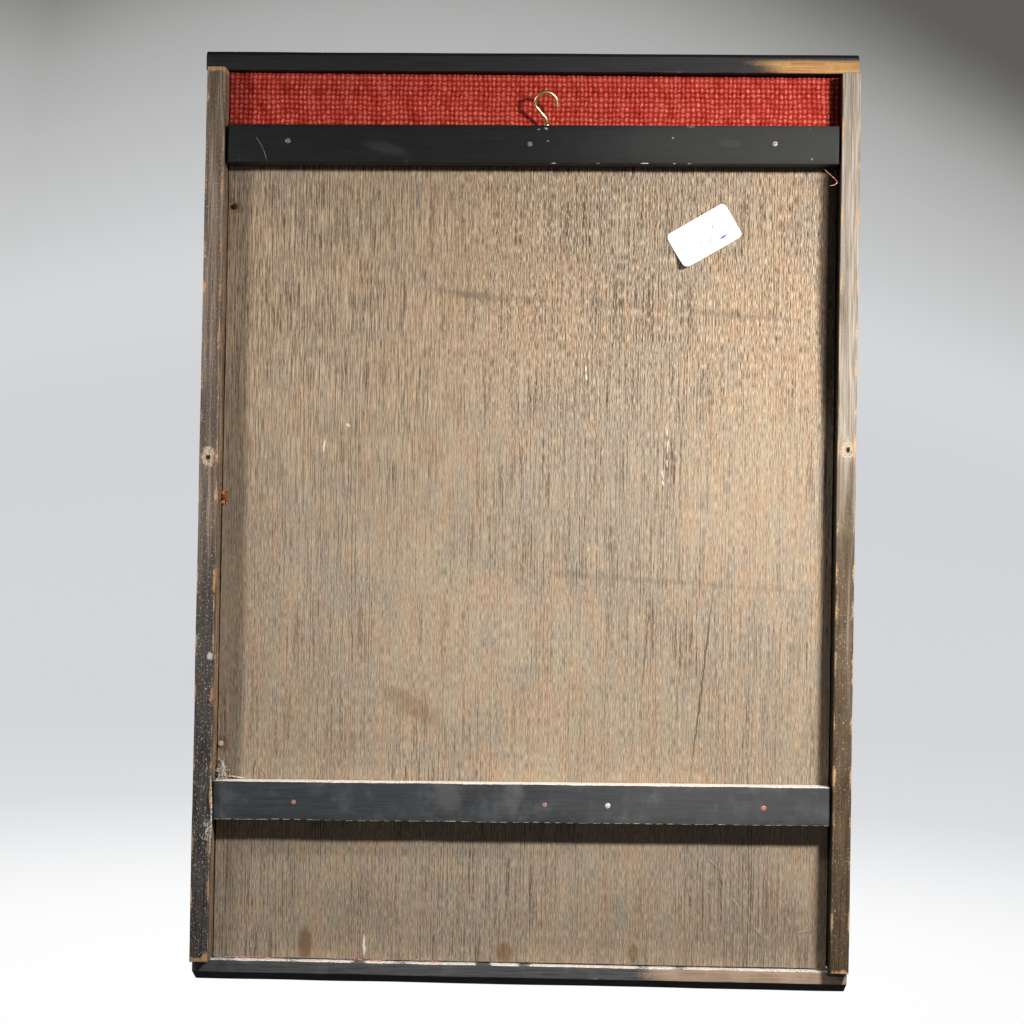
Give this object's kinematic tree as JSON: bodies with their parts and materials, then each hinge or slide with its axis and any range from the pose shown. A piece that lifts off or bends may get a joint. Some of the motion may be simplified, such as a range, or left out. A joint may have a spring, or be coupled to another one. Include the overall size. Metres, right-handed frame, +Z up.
{
  "type": "framed wall sculpture",
  "caption": "Framed wall relief: a carved wooden leaf spray on red hessian over a thin board, in narrow stained bars, hung by a brass cup hook on its back.",
  "frame": {"origin": "where the work hangs: the inside top of the cup hook's bend, on the middle of the wire", "axes": "+Z up; the carved face looks along -Y and the back lies against a wall on the +Y side; +X is to the right as seen from the front"},
  "size_m": [0.431, 0.0396, 0.616],
  "materials": {
    "stained_timber": "dark stain, worn through to bare wood along arrises and in patches",
    "black_timber": "black stain with scuffs",
    "plywood": "raw, vertical grain with short open pores",
    "red_hessian": "open plain weave of coarse jute",
    "brass": "bright drawn wire, slightly tarnished",
    "nail_steel": "coppery, slightly rusted heads",
    "paper": "matt self-adhesive paper, blank",
    "carved_timber": "hand carved, dark oiled"
  },
  "bodies": {
    "root": {"top_rail": "stained_timber", "bottom_rail": "stained_timber", "left_stile": "stained_timber", "right_stile": "stained_timber", "back_panel": "plywood", "hessian": "red_hessian", "upper_batten": "black_timber", "lower_batten": "black_timber", "cup_hook": "brass", "upper_nail_1": "nail_steel", "upper_nail_2": "nail_steel", "upper_nail_3": "nail_steel", "lower_nail_1": "nail_steel", "lower_nail_2": "nail_steel", "lower_nail_3": "nail_steel", "lower_nail_4": "nail_steel", "panel_pin_1": "nail_steel", "panel_pin_2": "nail_steel", "panel_pin_3": "nail_steel", "paper_label": "paper", "carved_spray": "carved_timber"}
  },
  "joints": []
}
